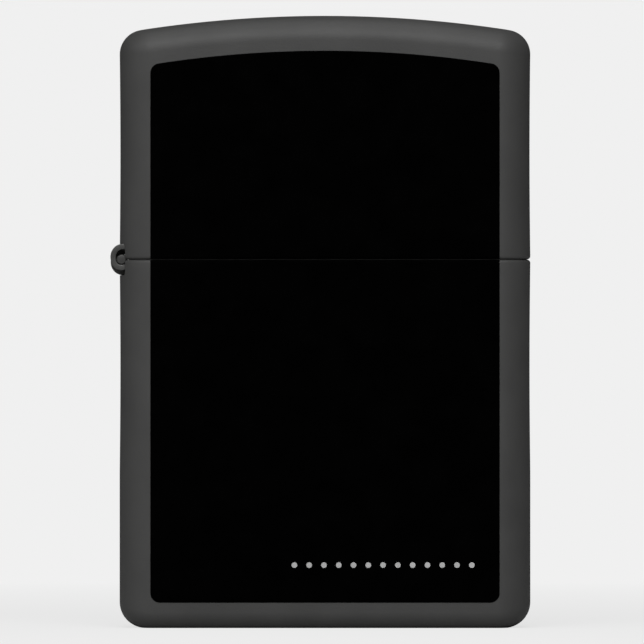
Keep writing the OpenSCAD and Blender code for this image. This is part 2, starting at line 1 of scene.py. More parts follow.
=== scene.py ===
import math
import bmesh
import bpy
import numpy as np
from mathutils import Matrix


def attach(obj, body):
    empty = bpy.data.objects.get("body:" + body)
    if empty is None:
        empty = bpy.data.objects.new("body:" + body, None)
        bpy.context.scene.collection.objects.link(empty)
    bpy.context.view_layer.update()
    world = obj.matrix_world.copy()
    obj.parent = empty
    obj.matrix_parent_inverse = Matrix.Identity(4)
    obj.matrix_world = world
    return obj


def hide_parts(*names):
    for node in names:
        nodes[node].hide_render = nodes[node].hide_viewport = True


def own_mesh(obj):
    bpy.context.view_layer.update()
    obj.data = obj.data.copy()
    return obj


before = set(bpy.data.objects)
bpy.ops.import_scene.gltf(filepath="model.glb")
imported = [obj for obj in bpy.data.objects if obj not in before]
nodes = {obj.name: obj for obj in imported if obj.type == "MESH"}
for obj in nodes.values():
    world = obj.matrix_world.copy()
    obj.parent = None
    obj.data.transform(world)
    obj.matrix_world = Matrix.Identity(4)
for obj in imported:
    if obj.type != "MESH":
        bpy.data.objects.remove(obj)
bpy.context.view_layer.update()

mm = 0.001
print("frame loaded:", len(nodes), "CAD nodes")


camera = {
    "lens": 900.0,         # long lens, so the sides hardly converge
    "distance": 1509.0,    # mm from the middle of the lighter
    "across": -0.28,       # mm, aimed a little left of the middle
    "height": 28.585,      # mm above the floor
}
cameraData = bpy.data.cameras.new("camera")
cameraData.lens = camera["lens"]
cameraData.sensor_width = 36.0
cameraData.clip_start = 0.01
cameraData.clip_end = 20.0
cameraObject = bpy.data.objects.new("camera", cameraData)
cameraObject.location = (camera["across"] * mm, -camera["distance"] * mm, camera["height"] * mm)
cameraObject.rotation_euler = (math.pi / 2, 0.0, 0.0)
bpy.context.scene.collection.objects.link(cameraObject)
bpy.context.scene.camera = cameraObject
print("camera set")


# faces of a grid of points: each square joins point (i, j) to its right, upper right and upper
# neighbours; columns always close round, rows close round when wrapRows is true
def gridFaces(rows, columns, wrapRows=False):
    i = np.arange(rows if wrapRows else rows - 1)[:, None]
    j = np.arange(columns)[None, :]
    right, up = (j + 1) % columns, (i + 1) % rows
    return np.stack([i * columns + j, i * columns + right, up * columns + right,
                     up * columns + j], -1).reshape(-1, 4)


# one closed part from loops of points, rows x columns x 3; the first and the last loop are
# capped unless the rows close round
def closedPart(loops, wrapRows=False):
    rows, columns = loops.shape[:2]
    faces = gridFaces(rows, columns, wrapRows).tolist()
    if not wrapRows:
        faces.append(list(range(columns))[::-1])
        faces.append(list(range((rows - 1) * columns, rows * columns)))
    return loops.reshape(-1, 3), faces


sharpEdge = 38.0      # degrees; a sharper fold between faces stays a crisp edge


# a mesh in metres from closed parts in millimetres, with normals outward
def meshOf(name, parts, sharpAngle=sharpEdge):
    points = np.concatenate([p for p, _ in parts]) * mm
    faces, start = [], 0
    for partPoints, partFaces in parts:
        faces += [[k + start for k in face] for face in partFaces]
        start += len(partPoints)
    mesh = bpy.data.meshes.new(name)
    mesh.from_pydata(points.tolist(), [], faces)
    work = bmesh.new()
    work.from_mesh(mesh)
    bmesh.ops.remove_doubles(work, verts=work.verts, dist=1e-8)
    bmesh.ops.recalc_face_normals(work, faces=work.faces)
    work.to_mesh(mesh)
    work.free()
    smoothen(mesh, sharpAngle)
    return mesh


def smoothen(mesh, sharpAngle):
    mesh.polygons.foreach_set("use_smooth", np.ones(len(mesh.polygons), bool))
    mesh.set_sharp_from_angle(angle=math.radians(sharpAngle))
    mesh.update()


# the mesh becomes a piece that rides on a body and stands for the CAD nodes named
def addPiece(name, mesh, material, body, slot, *replaced):
    piece = bpy.data.objects.new(name, mesh)
    bpy.context.scene.collection.objects.link(piece)
    mesh.materials.clear()
    mesh.materials.append(material)
    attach(piece, body)
    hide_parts(*replaced)
    return piece


# mesh with closed cutters taken away
def cutAway(mesh, cutters):
    body = bpy.data.objects.new("body", mesh)
    tool = bpy.data.objects.new("tool", meshOf("tool", cutters))
    for thing in (body, tool):
        bpy.context.scene.collection.objects.link(thing)
    cut = body.modifiers.new("cut", "BOOLEAN")
    cut.operation, cut.solver, cut.object = "DIFFERENCE", "EXACT", tool
    cut.use_self = len(cutters) > 1
    result = bpy.data.meshes.new_from_object(body.evaluated_get(
        bpy.context.evaluated_depsgraph_get()))
    result.name = mesh.name
    for thing in (body, tool):
        bpy.data.objects.remove(thing)
    smoothen(result, sharpEdge)
    return result


# the shapes below are worked out as arrays, all in millimetres

# rounded rectangle, anticlockwise: corner centre plus radius times (cos a, sin a), with evenly
# spaced points along the straight sides; gives the points and their outward normals
def outline(width, depth, radius, cornerSteps=16, sideSteps=12):
    angle = np.linspace(0, np.pi / 2, cornerSteps + 1) + np.arange(4)[:, None] * np.pi / 2
    corner = angle[:, :1] + np.pi / 4
    centre = np.stack([np.sign(np.cos(corner)) * (width / 2 - radius),
                       np.sign(np.sin(corner)) * (depth / 2 - radius)], -1)
    normal = np.stack([np.cos(angle), np.sin(angle)], -1)
    arc = centre + radius * normal
    share = (np.arange(1, sideSteps) / sideSteps)[None, :, None]
    side = arc[:, -1:] * (1 - share) + np.roll(arc, -1, 0)[:, :1] * share
    sideNormal = np.repeat(normal[:, -1:], sideSteps - 1, 1)
    return (np.concatenate([arc, side], 1).reshape(-1, 2),
            np.concatenate([normal, sideNormal], 1).reshape(-1, 2))


# loops of one outline moved in along its normals: point - inset * normal, at height z
def loopsUp(points, normals, inset, z):
    inset, z = np.broadcast_arrays(np.atleast_2d(inset), np.atleast_2d(z))
    rows = max(inset.shape[0], z.shape[0])
    flat = points[None] - np.broadcast_to(inset, (rows, len(points)))[..., None] * normals
    return np.concatenate([flat, np.broadcast_to(z, (rows, len(points)))[..., None]], -1)


# outward normals of a closed anticlockwise row of points, from the neighbours on both sides
def sideNormals(points):
    along = np.roll(points, -1, 0) - np.roll(points, 1, 0)
    along /= np.linalg.norm(along, axis=1)[:, None]
    return np.stack([along[:, 1], -along[:, 0]], -1)


# flat shape (u, v) carried from w0 to w1 with eased edges: near each end the outline moves in by
# ease * (1 - cos a) while w moves by ease * (1 - sin a); order says which axes u, v and w are
def carried(shape, w0, w1, ease, order=(0, 2, 1), steps=3):
    angle = np.linspace(np.pi / 2, 0, steps + 1)
    inset = ease * (1 - np.cos(angle))
    rise = ease * (1 - np.sin(angle))
    inset, w = np.concatenate([inset, inset[::-1]]), np.concatenate([w0 + rise, w1 - rise[::-1]])
    flat = shape[None] - inset[:, None, None] * sideNormals(shape)[None]
    loops = np.empty(flat.shape[:2] + (3,))
    loops[..., order[0]], loops[..., order[1]] = flat[..., 0], flat[..., 1]
    loops[..., order[2]] = w[:, None]
    return closedPart(loops)


# profile (radius, height) turned about an axis through centre: (r cos a, r sin a, h)
def turned(profile, centre, order=(0, 1, 2), sides=64, wrapRows=False):
    profile = np.array(profile, float)
    a = np.linspace(0, 2 * np.pi, sides, endpoint=False)
    loops = np.empty((len(profile), sides, 3))
    loops[..., order[0]] = centre[order[0]] + profile[:, :1] * np.cos(a)
    loops[..., order[1]] = centre[order[1]] + profile[:, :1] * np.sin(a)
    loops[..., order[2]] = centre[order[2]] + profile[:, 1:]
    return closedPart(loops, wrapRows)


# half profile of a rod or a head from h0 to h1 with eased ends
def rodProfile(radius, h0, h1, ease, steps=4):
    a = np.linspace(np.pi / 2, 0, steps + 1)
    r = radius - ease * (1 - np.cos(a))
    rise = ease * (1 - np.sin(a))
    return np.concatenate([[[radius * 0.02, h0]], np.stack([r, h0 + rise], -1),
                           np.stack([r[::-1], h1 - rise[::-1]], -1), [[radius * 0.02, h1]]])


# sheet of given thickness bent along a path in the X-Z plane, from y0 to y1: its section is a
# rounded rectangle set across the path
def bentSheet(path, thickness, y0, y1, ease=0.08):
    section, _ = outline(thickness, y1 - y0, ease, cornerSteps=3, sideSteps=2)
    ahead = np.gradient(path, axis=0)
    ahead /= np.linalg.norm(ahead, axis=1)[:, None]
    across = np.stack([-ahead[:, 1], ahead[:, 0]], -1)
    loops = np.empty((len(path), len(section), 3))
    loops[..., 0] = path[:, :1] + across[:, :1] * section[None, :, 0]
    loops[..., 2] = path[:, 1:] + across[:, 1:] * section[None, :, 0]
    loops[..., 1] = (y0 + y1) / 2 + section[None, :, 1]
    return closedPart(loops)


# corners of a row of points rounded: each corner becomes short steps of a parabola between
# points at the given reach before and after it
def easedPath(corners, reach, steps=6):
    corners = np.array(corners, float)
    rows = [corners[:1]]
    for before, here, after in zip(corners[:-2], corners[1:-1], corners[2:]):
        start = here + reach * (before - here) / np.linalg.norm(before - here)
        end = here + reach * (after - here) / np.linalg.norm(after - here)
        t = np.linspace(0, 1, steps)[:, None]
        rows.append((1 - t) ** 2 * start + 2 * t * (1 - t) * here + t ** 2 * end)
    return np.concatenate(rows + [corners[-1:]])


# round tube along a path in space: point = path + r(a, s) * (side cos a + lift sin a), with
# lift = ahead x side; side is Y or the given vectors
def tubeAlong(path, radius, sides, side=None):
    ahead = np.gradient(path, axis=0)
    ahead /= np.linalg.norm(ahead, axis=1)[:, None]
    side = np.broadcast_to([0.0, 1.0, 0.0], path.shape) if side is None else side
    lift = np.cross(ahead, side)
    a = np.linspace(0, 2 * np.pi, sides, endpoint=False)
    radius = np.broadcast_to(radius, (len(path), sides))[..., None]
    return closedPart(path[:, None] + radius * (side[:, None] * np.cos(a)[None, :, None]
                                                + lift[:, None] * np.sin(a)[None, :, None]))


# noise on Object coordinates; stretch multiplies the coordinates, so a small number draws long
# streaks along that axis
def noiseAt(tree, scale, stretch=(1.0, 1.0, 1.0)):
    where = tree.nodes.new("ShaderNodeTexCoord")
    place = tree.nodes.new("ShaderNodeMapping")
    place.inputs["Scale"].default_value = stretch
    noise = tree.nodes.new("ShaderNodeTexNoise")
    noise.inputs["Scale"].default_value = scale
    noise.inputs["Detail"].default_value = 4.0
    tree.links.new(where.outputs["Object"], place.inputs["Vector"])
    tree.links.new(place.outputs["Vector"], noise.inputs["Vector"])
    return noise.outputs["Fac"]


def rangeOf(tree, value, low, high, toLow, toHigh):
    node = tree.nodes.new("ShaderNodeMapRange")
    for name, number in (("From Min", low), ("From Max", high), ("To Min", toLow),
                         ("To Max", toHigh)):
        node.inputs[name].default_value = number
    tree.links.new(value, node.inputs["Value"])
    return node.outputs["Result"]


def blendOf(tree, factor, first, second):
    node = tree.nodes.new("ShaderNodeMix")
    node.data_type = "RGBA"
    colourA, colourB = [s for s in node.inputs if s.type == "RGBA"]
    for socket, colour in ((colourA, first), (colourB, second)):
        if isinstance(colour, tuple):
            socket.default_value = colour + (1.0,)
        else:
            tree.links.new(colour, socket)
    tree.links.new(factor, node.inputs["Factor"])
    return [s for s in node.outputs if s.type == "RGBA"][0]


def bumpOf(tree, shader, height, strength, depth):
    bump = tree.nodes.new("ShaderNodeBump")
    bump.inputs["Strength"].default_value = strength
    bump.inputs["Distance"].default_value = depth * mm
    tree.links.new(height, bump.inputs["Height"])
    tree.links.new(bump.outputs["Normal"], shader.inputs["Normal"])


# a finish: two tones mixed by broad noise of scale tone, and fine grain (scale, bump strength,
# bump depth in mm) in the roughness and in the bump
def finish(name, tones, rough, tone, grain, metallic=0.0, stretch=(1, 1, 1), **direct):
    material = bpy.data.materials.new(name)
    material.use_nodes = True
    tree = material.node_tree
    shader = tree.nodes["Principled BSDF"]
    shader.inputs["Metallic"].default_value = metallic
    for socket, number in direct.items():
        shader.inputs[socket.replace("_", " ")].default_value = number
    broad = rangeOf(tree, noiseAt(tree, tone), 0.35, 0.65, 0.0, 1.0)
    tree.links.new(blendOf(tree, broad, tones[0], tones[1]), shader.inputs["Base Color"])
    scale, strength, depth = grain
    fine = noiseAt(tree, scale, stretch)
    tree.links.new(rangeOf(tree, fine, 0.3, 0.7, rough[0], rough[1]), shader.inputs["Roughness"])
    bumpOf(tree, shader, fine, strength, depth)
    return material


casePaint = finish("casePaint", ((0.052, 0.052, 0.0512), (0.058, 0.058, 0.0571)), (0.45, 0.58),
                   tone=260.0, grain=(7500.0, 0.3, 0.03), Specular_IOR_Level=0.28)
panelInk = finish("panelInk", ((0.0002, 0.0002, 0.0002), (0.0005, 0.0005, 0.0005)), (0.8, 0.95),
                  tone=400.0, grain=(9000.0, 0.1, 0.01), Specular_IOR_Level=0.01)
dotInk = finish("dotInk", ((0.44, 0.44, 0.44), (0.5, 0.5, 0.5)), (0.6, 0.75),
                tone=900.0, grain=(9000.0, 0.2, 0.01))
hingeSteel = finish("hingeSteel", ((0.05, 0.05, 0.048), (0.07, 0.07, 0.068)), (0.38, 0.52),
                    metallic=0.3, tone=700.0, grain=(9000.0, 0.3, 0.02), stretch=(1, 0.12, 1))
pinSteel = finish("pinSteel", ((0.045, 0.045, 0.044), (0.065, 0.065, 0.063)), (0.35, 0.5),
                  metallic=0.3, tone=1500.0, grain=(9000.0, 0.3, 0.01))
insertSteel = finish("insertSteel", ((0.6, 0.59, 0.57), (0.66, 0.65, 0.63)), (0.26, 0.34),
                     metallic=1.0, tone=180.0, grain=(14000.0, 0.08, 0.004), stretch=(1, 1, 0.02))
plateSteel = finish("plateSteel", ((0.6, 0.59, 0.57), (0.66, 0.65, 0.63)), (0.28, 0.36),
                    metallic=1.0, tone=180.0, grain=(14000.0, 0.08, 0.004), stretch=(0.02, 1, 1))
springSteel = finish("springSteel", ((0.45, 0.46, 0.5), (0.56, 0.56, 0.58)), (0.18, 0.3),
                     metallic=1.0, tone=600.0, grain=(5000.0, 0.15, 0.01))
wheelSteel = finish("wheelSteel", ((0.13, 0.125, 0.12), (0.27, 0.26, 0.25)), (0.3, 0.5),
                    metallic=1.0, tone=900.0, grain=(6000.0, 0.3, 0.02))
flintMetal = finish("flintMetal", ((0.09, 0.09, 0.085), (0.14, 0.135, 0.13)), (0.5, 0.7),
                    metallic=0.7, tone=1400.0, grain=(7000.0, 0.6, 0.04))
brass = finish("brass", ((0.62, 0.43, 0.17), (0.7, 0.5, 0.22)), (0.22, 0.36),
               metallic=1.0, tone=500.0, grain=(4500.0, 0.15, 0.01))
cottonFluff = finish("cottonFluff", ((0.8, 0.79, 0.76), (0.88, 0.87, 0.85)), (0.85, 1.0),
                     tone=700.0, grain=(3500.0, 0.8, 0.15), Sheen_Weight=0.5)
feltWool = finish("feltWool", ((0.66, 0.63, 0.56), (0.76, 0.73, 0.67)), (0.85, 1.0),
                  tone=900.0, grain=(5000.0, 0.8, 0.12), Sheen_Weight=0.4)
print("finishes ready")


# the case is a pressed steel shell below the split, the lid one above it
shell = {
    "width": 38.4, "depth": 13.0, "height": 57.2,
    "split": 34.41, "gap": 0.03,           # height of the split, and how far it stands open
    "wall": 0.6, "edge": 3.1,              # sheet, and radius of the upright corners
    "footSide": 2.4, "footFace": 1.5,      # radius at the foot of the sides and of the faces
    "dent": 0.2, "dentRim": 2.6, "dentSlope": 0.7,      # hollow of the base
    "topEdge": 2.3, "crown": 113.0,        # radius of the top's edge and of its arch
    "rimOut": 0.3, "rimIn": 0.06,          # how far the two rims are rounded
    "waist": 0.07, "waistSpan": 20.0,      # the sides draw in up to this far from the split
}
hinge = {
    "x": -19.0, "z": 34.425, "halfWidth": 4.9, "gap": 0.12,      # pin's place, knuckle gap
    "notchHalf": 5.1, "notchHigh": 1.47,            # notch in both shells, from the pin
    "pin": 0.44, "bore": 0.5, "sheet": 0.52,        # radii, and the leaves' sheet
    "wide": 0.46, "rollFrom": 75.0, "rollTo": 298.0, "rollEase": 115.0,  # spiral, in degrees
    "inset": 0.2, "jogIn": 0.08, "strapEase": 0.28,      # where the sheet leaves the wall
    "leafDown": 9.0, "leafHalf": 4.4, "leafEase": 0.06,
    "tongueHalf": 0.9, "tongueDown": 0.5, "tongueEase": 0.25,
    "press": 0.6, "pinEase": 0.1, "fit": 0.01,      # pin's plain ends, their ease, its press fit
    "cutLeft": -22.0, "cutRight": -16.6, "cutPast": 6.0, "cutRound": 0.25,
}
planPoints, planNormals = outline(shell["width"], shell["depth"], shell["edge"],
                                  cornerSteps=24, sideSteps=24)
sideways = planNormals[:, 0] ** 2


# how far a side is drawn in at height z: waist * sin(pi * way), way = 0 to 1 over waistSpan
def drawIn(z):
    way = np.clip(np.abs(z - shell["split"]) / shell["waistSpan"], 0, 1)
    return shell["waist"] * np.sin(way * np.pi) * sideways


# rim between outside and inside: quarter rounds of rimOut and rimIn, facing up or down
def rimRows(rimZ, facing, steps=7):
    a = np.linspace(0, np.pi / 2, steps)
    outer = np.stack([shell["rimOut"] * (1 - np.cos(a)),
                      rimZ - facing * shell["rimOut"] * (1 - np.sin(a))], -1)
    inner = np.stack([shell["wall"] - shell["rimIn"] * (1 - np.cos(a[::-1])),
                      rimZ - facing * shell["rimIn"] * (1 - np.sin(a[::-1]))], -1)
    return np.concatenate([outer, inner])


def caseShell():
    footRound = shell["footFace"] * (1 - sideways) + shell["footSide"] * sideways
    a = np.linspace(np.pi / 2, 0, 14)[:, None]
    footOut = loopsUp(planPoints, planNormals, footRound * (1 - np.cos(a)) + drawIn(2.0),
                      footRound * (1 - np.sin(a)))
    height = np.linspace(0, 1, 40)[1:-1, None]
    top = shell["split"] - shell["rimOut"]
    sideZ = footRound + height * (top - footRound)
    side = loopsUp(planPoints, planNormals, drawIn(sideZ), sideZ)
    rim = rimRows(shell["split"], 1)
    rimLoops = loopsUp(planPoints, planNormals, rim[:, :1], rim[:, 1:])
    inRound = footRound - shell["wall"]
    floorZ = shell["wall"] + shell["dent"]
    inZ = (floorZ + inRound) + height[::-1] * (top - floorZ - inRound)
    inSide = loopsUp(planPoints, planNormals, shell["wall"] + 0 * inZ, inZ)
    footIn = loopsUp(planPoints, planNormals, shell["wall"] + inRound * (1 - np.cos(a[::-1])),
                     floorZ + inRound * (1 - np.sin(a[::-1])))
    # hollow pressed into the base, with soft edges
    border = shell["dentRim"]
    dentPoints, dentNormals = outline(shell["width"] - 2 * border, shell["depth"] - 2 * border,
                                      shell["edge"] - border / 2, cornerSteps=24, sideSteps=24)
    dentWay = np.linspace(1, 0, 6)[:, None]
    dent = loopsUp(dentPoints, dentNormals, shell["dentSlope"] * dentWay,
                   shell["dent"] * (0.5 - 0.5 * np.cos(np.pi * dentWay)))
    return closedPart(np.concatenate([dent, footOut, side, rimLoops, inSide, footIn]))


def lidShell():
    rimZ = shell["split"] + shell["gap"]
    crownZ = shell["height"] - shell["crown"]
    edge, crown = shell["topEdge"], shell["crown"]
    # the rounded edge rolls round a curve on the cylinder of radius crown - edge:
    # point = curve + r * slerp(outward normal, crown normal, t)
    curve = loopsUp(planPoints, planNormals, edge, 0.0)[0]
    lift = np.sqrt((crown - edge) ** 2 - curve[:, 0] ** 2)
    curve[:, 2] = crownZ + lift
    outward = np.concatenate([planNormals, np.zeros((len(planNormals), 1))], 1)
    upward = np.stack([curve[:, 0], 0 * lift, lift], -1) / (crown - edge)
    between = np.arccos(np.sum(outward * upward, 1))[:, None]

    def rolled(radius, t):
        t = t[:, None, None]
        way = (np.sin((1 - t) * between) * outward + np.sin(t * between) * upward)
        return curve + radius * way / np.sin(between)

    def crowned(loop, radius, shares):
        loops = loop[None] * shares[:, None, None]
        loops[..., 2] = crownZ + np.sqrt(radius ** 2 - loops[..., 0] ** 2)
        return loops

    t = np.linspace(0, 1, 16)
    shares = np.linspace(1, 0, 26)[1:-1] ** 0.9
    outRoll = rolled(edge, t)
    inRoll = rolled(edge - shell["wall"], t)
    sideTop = curve[:, 2]
    height = np.linspace(0, 1, 30)[1:-1, None]
    low = rimZ + shell["rimOut"]
    sideZ = low + height * (sideTop - low)
    side = loopsUp(planPoints, planNormals, drawIn(sideZ), sideZ)
    inSide = loopsUp(planPoints, planNormals, shell["wall"] + 0 * sideZ, sideZ)
    rim = rimRows(rimZ, -1)
    rimLoops = loopsUp(planPoints, planNormals, rim[:, :1], rim[:, 1:])
    pulled = (1 - t[:, None]) * drawIn(54.0)
    outRoll[..., :2] -= pulled[..., None] * planNormals
    return closedPart(np.concatenate([
        crowned(outRoll[-1], crown, shares)[::-1], outRoll[::-1], side[::-1], rimLoops, inSide,
        inRoll, crowned(inRoll[-1], crown - shell["wall"], shares)]))


# cutter for the barrel's notch: a block through the left wall with slightly round corners
def notchCutter(z0, z1):
    shape, _ = outline(2 * hinge["notchHalf"], z1 - z0, hinge["cutRound"], cornerSteps=4,
                       sideSteps=1)
    shape[:, 1] += (z0 + z1) / 2
    return carried(shape, hinge["cutLeft"], hinge["cutRight"], 0.0, order=(1, 2, 0), steps=1)


caseMesh = cutAway(meshOf("caseShell", [caseShell()]),
                   [notchCutter(hinge["z"] - hinge["notchHigh"], hinge["z"] + hinge["cutPast"])])
addPiece("caseShell", caseMesh, casePaint, "case", "case_paint", "case_bottom")
lidMesh = cutAway(meshOf("lidShell", [lidShell()]),
                  [notchCutter(hinge["z"] - hinge["cutPast"], hinge["z"] + hinge["notchHigh"])])
addPiece("lidShell", lidMesh, casePaint, "lid", "case_paint", "case_lid")
print("case and lid made")


# printed panel: a thin film on the front of the case and the lid
panel = {"half": 16.3, "foot": 2.4, "head": 53.9, "corner": 0.9, "crown": 102.0,
         "film": 0.04, "sunk": 0.01,      # film above the paint, and its back below it
         "bare": 0.02}                    # strip left unprinted at each rim


# film between two rows of heights: for each x a closed loop, up its face and down its back;
# y = front of the case at x, minus the film, plus the rounding of the rim
def filmPart(x, low, high, rimZ):
    share = np.linspace(0, 1, 60)[None]
    share = np.sort(np.concatenate([share, share ** 6, 1 - (1 - share) ** 6], 1))
    z = low[:, None] + share * (high - low)[:, None]
    over = np.clip(np.abs(x) - (shell["width"] / 2 - shell["edge"]), 0, None)[:, None]
    front = -shell["depth"] / 2 + shell["edge"] - np.sqrt(shell["edge"] ** 2 - over ** 2)
    near = np.clip(shell["rimOut"] - np.abs(z - rimZ), 0, None)
    front = front + shell["rimOut"] - np.sqrt(shell["rimOut"] ** 2 - near ** 2)
    z = np.concatenate([z, z[:, ::-1]], 1)
    y = np.concatenate([front - panel["film"], front[:, ::-1] + panel["sunk"]], 1)
    return closedPart(np.stack([np.broadcast_to(x[:, None], z.shape), y, z], -1))


cornerX = panel["half"] - panel["corner"]
bend = cornerX + panel["corner"] * np.sin(np.linspace(0, np.pi / 2, 12))
panelX = np.concatenate([-bend[::-1], np.linspace(-cornerX, cornerX, 48)[1:-1], bend])
pastCorner = np.clip(np.abs(panelX) - cornerX, 0, None)
cornerDrop = panel["corner"] - np.sqrt(np.clip(panel["corner"] ** 2 - pastCorner ** 2, 0, None))
panelFoot = panel["foot"] + cornerDrop
arcZ = panel["head"] - panel["crown"]
innerArc = panel["crown"] - panel["corner"]
panelHead = np.where(np.abs(panelX) > cornerX * panel["crown"] / innerArc,
                     arcZ + math.sqrt(innerArc ** 2 - cornerX ** 2) + panel["corner"] - cornerDrop,
                     arcZ + np.sqrt(panel["crown"] ** 2 - panelX ** 2))
rimLow, rimHigh = shell["split"], shell["split"] + shell["gap"]
flat = np.ones_like(panelX)
addPiece("panelOnCase", meshOf("panelOnCase", [filmPart(
    panelX, panelFoot, (rimLow - panel["bare"]) * flat, rimLow)]),
    panelInk, "case", "panel_ink", "print_panel_case")
addPiece("panelOnLid", meshOf("panelOnLid", [filmPart(
    panelX, (rimHigh + panel["bare"]) * flat, panelHead, rimHigh)]),
    panelInk, "lid", "panel_ink", "print_panel_lid")
nodes["print_dots"].data.materials.clear()
nodes["print_dots"].data.materials.append(dotInk)
print("printed panel made")


# hinge: five curled knuckles on one pin
rollMid = hinge["bore"] + hinge["sheet"] / 2
plateX = shell["wall"] - hinge["inset"] + hinge["sheet"] / 2
jog = hinge["notchHigh"] - hinge["jogIn"]


# path of the sheet, about the pin: out of the wall at the jog, over the pin and round it, with
# radius = rollMid + wide * (1 - smooth step of the angle over rollEase degrees); flip = -1 turns
# the path upside down for the leaf below
def knucklePath(flip):
    a = np.radians(np.linspace(hinge["rollFrom"], hinge["rollTo"], 56))
    way = np.clip((np.degrees(a) - hinge["rollFrom"]) / hinge["rollEase"], 0, 1)
    radius = rollMid + hinge["wide"] * (1 - way * way * (3 - 2 * way))
    roll = radius[:, None] * np.stack([np.cos(a), np.sin(a)], -1)
    strap = easedPath([[plateX, jog + 0.4], [plateX - 0.03, roll[0, 1] + 0.02], roll[0]],
                      hinge["strapEase"])
    path = np.concatenate([strap[:-1], roll])
    return path * [1, flip] + [hinge["x"], hinge["z"]]


def knuckleParts(places, flip):
    pitch = 2 * hinge["halfWidth"] / 5
    ends = [(-hinge["halfWidth"] + i * pitch + (hinge["gap"] / 2 if i else 0),
             -hinge["halfWidth"] + (i + 1) * pitch - (hinge["gap"] / 2 if i < 4 else 0))
            for i in places]
    return [bentSheet(knucklePath(flip), hinge["sheet"], y0, y1) for y0, y1 in ends]


# plate that lines the inside of the left wall: the wall's inner face and the same face moved in
# by the sheet, carried from z0 to z1
def leafPlate(z0, z1):
    y = np.linspace(hinge["leafHalf"], -hinge["leafHalf"], 41)
    straight = shell["depth"] / 2 - shell["edge"]

    def wallX(radius):
        past = np.clip(np.abs(y) - straight, 0, None)
        return -shell["width"] / 2 + shell["edge"] - np.sqrt(radius ** 2 - past ** 2)

    outer = np.stack([wallX(shell["edge"] - shell["wall"]), y], -1)
    inner = np.stack([wallX(shell["edge"] - shell["wall"] - hinge["sheet"]), y], -1)
    return carried(np.concatenate([outer, inner[::-1]]), z0, z1, hinge["leafEase"],
                   order=(0, 1, 2))


# the tongue steps inwards past the rolled knuckles and ends a little below the pin
tongueX = hinge["bore"] + hinge["sheet"] * 1.5 + hinge["gap"]
tongueEnd = -hinge["tongueDown"] - hinge["sheet"] / 2
tongue = np.array([[plateX, jog + 2], [plateX, jog + 0.9], [tongueX, jog + 0.15],
                   [tongueX, tongueEnd]]) + [hinge["x"], hinge["z"]]
addPiece("hingeLeafCase", meshOf("hingeLeafCase", [
    leafPlate(hinge["z"] - hinge["leafDown"], hinge["z"] - jog)] + knuckleParts([1, 3], -1)),
    hingeSteel, "case", "hinge_steel", "hinge_leaf_case")
addPiece("hingeLeafLid", meshOf("hingeLeafLid", [
    leafPlate(hinge["z"] + jog, hinge["z"] + hinge["leafDown"]),
    bentSheet(easedPath(tongue, hinge["tongueEase"]), hinge["sheet"], -hinge["tongueHalf"],
              hinge["tongueHalf"])] + knuckleParts([0, 2, 4], 1)),
    hingeSteel, "lid", "hinge_steel", "hinge_leaf_lid")
# the pin is a little thicker between its ends, where it is pressed into the knuckles
pinShape = rodProfile(hinge["pin"], -hinge["halfWidth"], hinge["halfWidth"], hinge["pinEase"])
belly, thick = hinge["halfWidth"] - hinge["press"], hinge["bore"] - hinge["fit"]
pinShape = np.concatenate([pinShape[:6], [[hinge["pin"], -belly], [thick, -belly],
                                          [thick, belly], [hinge["pin"], belly]], pinShape[6:]])
addPiece("hingePin", meshOf("hingePin", [turned(
    pinShape, (hinge["x"], 0.0, hinge["z"]), order=(0, 2, 1))]),
    pinSteel, "case", "pin_steel", "hinge_pin")
print("hinge made")


# insert: can, windguard, and the ears that hold the wheel and the cam
can = {"x": 0.21, "width": 35.98, "depth": 11.0, "corner": 2.6, "wall": 0.4,
       "foot": 1.4186, "rim": 36.0, "ease": 0.12,
       "notchHalf": 2.2, "notchFoot": 31.825, "notchRound": 0.4, "cutLeft": -19.5,
       "cutRight": -16.9}
guard = {"x": 1.05, "width": 15.9, "depth": 10.0, "corner": 3.0, "sheet": 0.5,
         "foot": 35.7, "top": 53.4, "hole": 1.1, "holeFirst": 4.3, "spread": 0.29,
         "windowHalf": 2.15, "windowLow": 38.7, "windowHigh": 48.7, "windowRound": 0.5,
         "windowDeep": 1.0, "flare": 0.16, "ease": 0.16}
wheel = {"x": 13.5, "z": 43.7, "radius": 3.3, "half": 2.3, "teeth": 40, "tooth": 0.3,
         "bore": 0.86, "rivet": 0.8,
         "earFace": 2.45, "ear": 0.7, "earRound": 1.7, "earEase": 0.1,
         "headWider": 1.625, "headHigh": 0.35,             # rivet heads
         "slant": 0.55, "steep": 0.7,                      # chevron of the teeth, their long flank
         "chamfer": 0.35, "drop": 0.3,                     # how the rim falls away at its edges
         "hub": (2.35, 2.2, 1.45, 1.3), "groove": 0.12, "boreEase": 0.08}
snap = {"x": -13.4, "z": 37.625, "rivet": 0.64, "earFace": 1.15, "earRound": 1.3}


# upright sleeve: one outline carried up outside and down inside, both rims eased
def sleeve(x, width, depth, corner, sheet, z0, z1, ease):
    points, normals = outline(width, depth, corner, cornerSteps=14, sideSteps=16)
    a = np.linspace(0, np.pi / 2, 5)
    turn = ease * (1 - np.cos(a))
    rise = ease * (1 - np.sin(a))
    up = np.linspace(z0 + ease, z1 - ease, 24)[1:-1]
    inset = np.concatenate([turn[::-1], 0 * up, turn, sheet - turn[::-1], sheet + 0 * up,
                            sheet - turn])
    z = np.concatenate([z0 + rise[::-1], up, z1 - rise, z1 - rise[::-1], up[::-1], z0 + rise])
    loops = loopsUp(points, normals, inset[:, None], z[:, None])
    loops[..., 0] += x
    return closedPart(loops, wrapRows=True)


# block cutter with round corners seen along X
def sideCutter(x0, x1, halfY, z0, z1, corner):
    shape, _ = outline(2 * halfY, z1 - z0, corner, cornerSteps=6, sideSteps=1)
    shape[:, 1] += (z0 + z1) / 2
    return carried(shape, x0, x1, 0.0, order=(1, 2, 0), steps=1)


